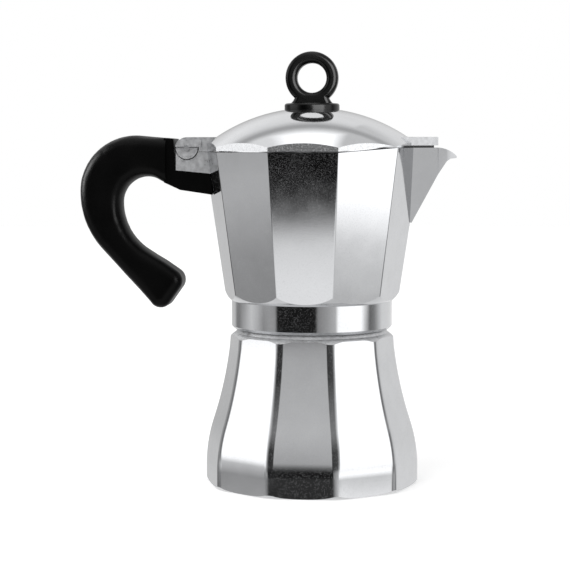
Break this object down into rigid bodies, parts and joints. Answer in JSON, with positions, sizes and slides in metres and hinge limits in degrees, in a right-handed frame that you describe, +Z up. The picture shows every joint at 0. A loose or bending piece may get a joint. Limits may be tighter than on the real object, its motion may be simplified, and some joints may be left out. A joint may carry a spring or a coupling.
{
  "type": "moka pot",
  "caption": "Faceted stovetop moka pot: boiler with safety valve, funnel, gasket and filter, spouted collector that screws on, hinged domed lid with ring knob, and moulded handle.",
  "frame": {"origin": "on the boiler's flat underside, at the pot's axis", "axes": "+Z up along the pot's axis, +X towards the spout, -X towards the handle, +Y towards the safety valve"},
  "size_m": [0.1838, 0.1048, 0.2094],
  "materials": {
    "polished_aluminium": "polished",
    "plain_aluminium": "as drawn",
    "silicone": "matte",
    "brass": "turned",
    "steel": "drawn",
    "satin_black": "satin",
    "gloss_black": "gloss"
  },
  "bodies": {
    "boiler": {"boiler": "polished_aluminium", "valve_body": "brass", "valve_washer": "silicone", "valve_spring": "steel", "valve_cap": "brass"},
    "plunger": {"valve_plunger": "brass"},
    "funnel": {"funnel": "plain_aluminium", "funnel_screen": "plain_aluminium"},
    "seal": {"gasket": "silicone", "filter_plate": "plain_aluminium"},
    "collector": {"collector": "polished_aluminium", "column": "plain_aluminium", "hinge_pin": "steel", "handle": "satin_black", "handle_screw": "steel", "handle_washer": "steel"},
    "lid": {"lid": "polished_aluminium", "knob": "gloss_black", "knob_insert": "brass", "knob_washer": "steel", "knob_screw": "steel"}
  },
  "joints": [
    {"name": "valve_lift", "type": "slide", "parent": "boiler", "child": "plunger", "axis": [0, 1, 0], "range_m": [0, 0.002], "stiffness_N_per_m": 600, "springref_m": -0.0035, "deforming": ["valve_spring"]},
    {"name": "seal_lift", "type": "slide", "parent": "boiler", "child": "seal", "axis": [0, 0, 1], "range_m": [0, 0.0084]},
    {"name": "funnel_lift", "type": "slide", "parent": "boiler", "child": "funnel", "axis": [0, 0, 1], "range_m": [0, 0.0042]},
    {"name": "unscrew_turn", "type": "hinge", "parent": "seal", "child": "collector", "pos_m": [0, 0, 0.08], "axis": [0, 0, 1], "range_deg": [0, 864]},
    {"name": "lid_hinge", "type": "hinge", "parent": "collector", "child": "lid", "pos_m": [-0.0601, 0, 0.1629], "axis": [0, -1, 0], "range_deg": [0, 95]}
  ],
  "couplings": [
    {"joint": "seal_lift", "follows": "unscrew_turn", "m_per_rad": 0.00055704},
    {"joint": "funnel_lift", "follows": "unscrew_turn", "m_per_rad": 0.00027852}
  ]
}
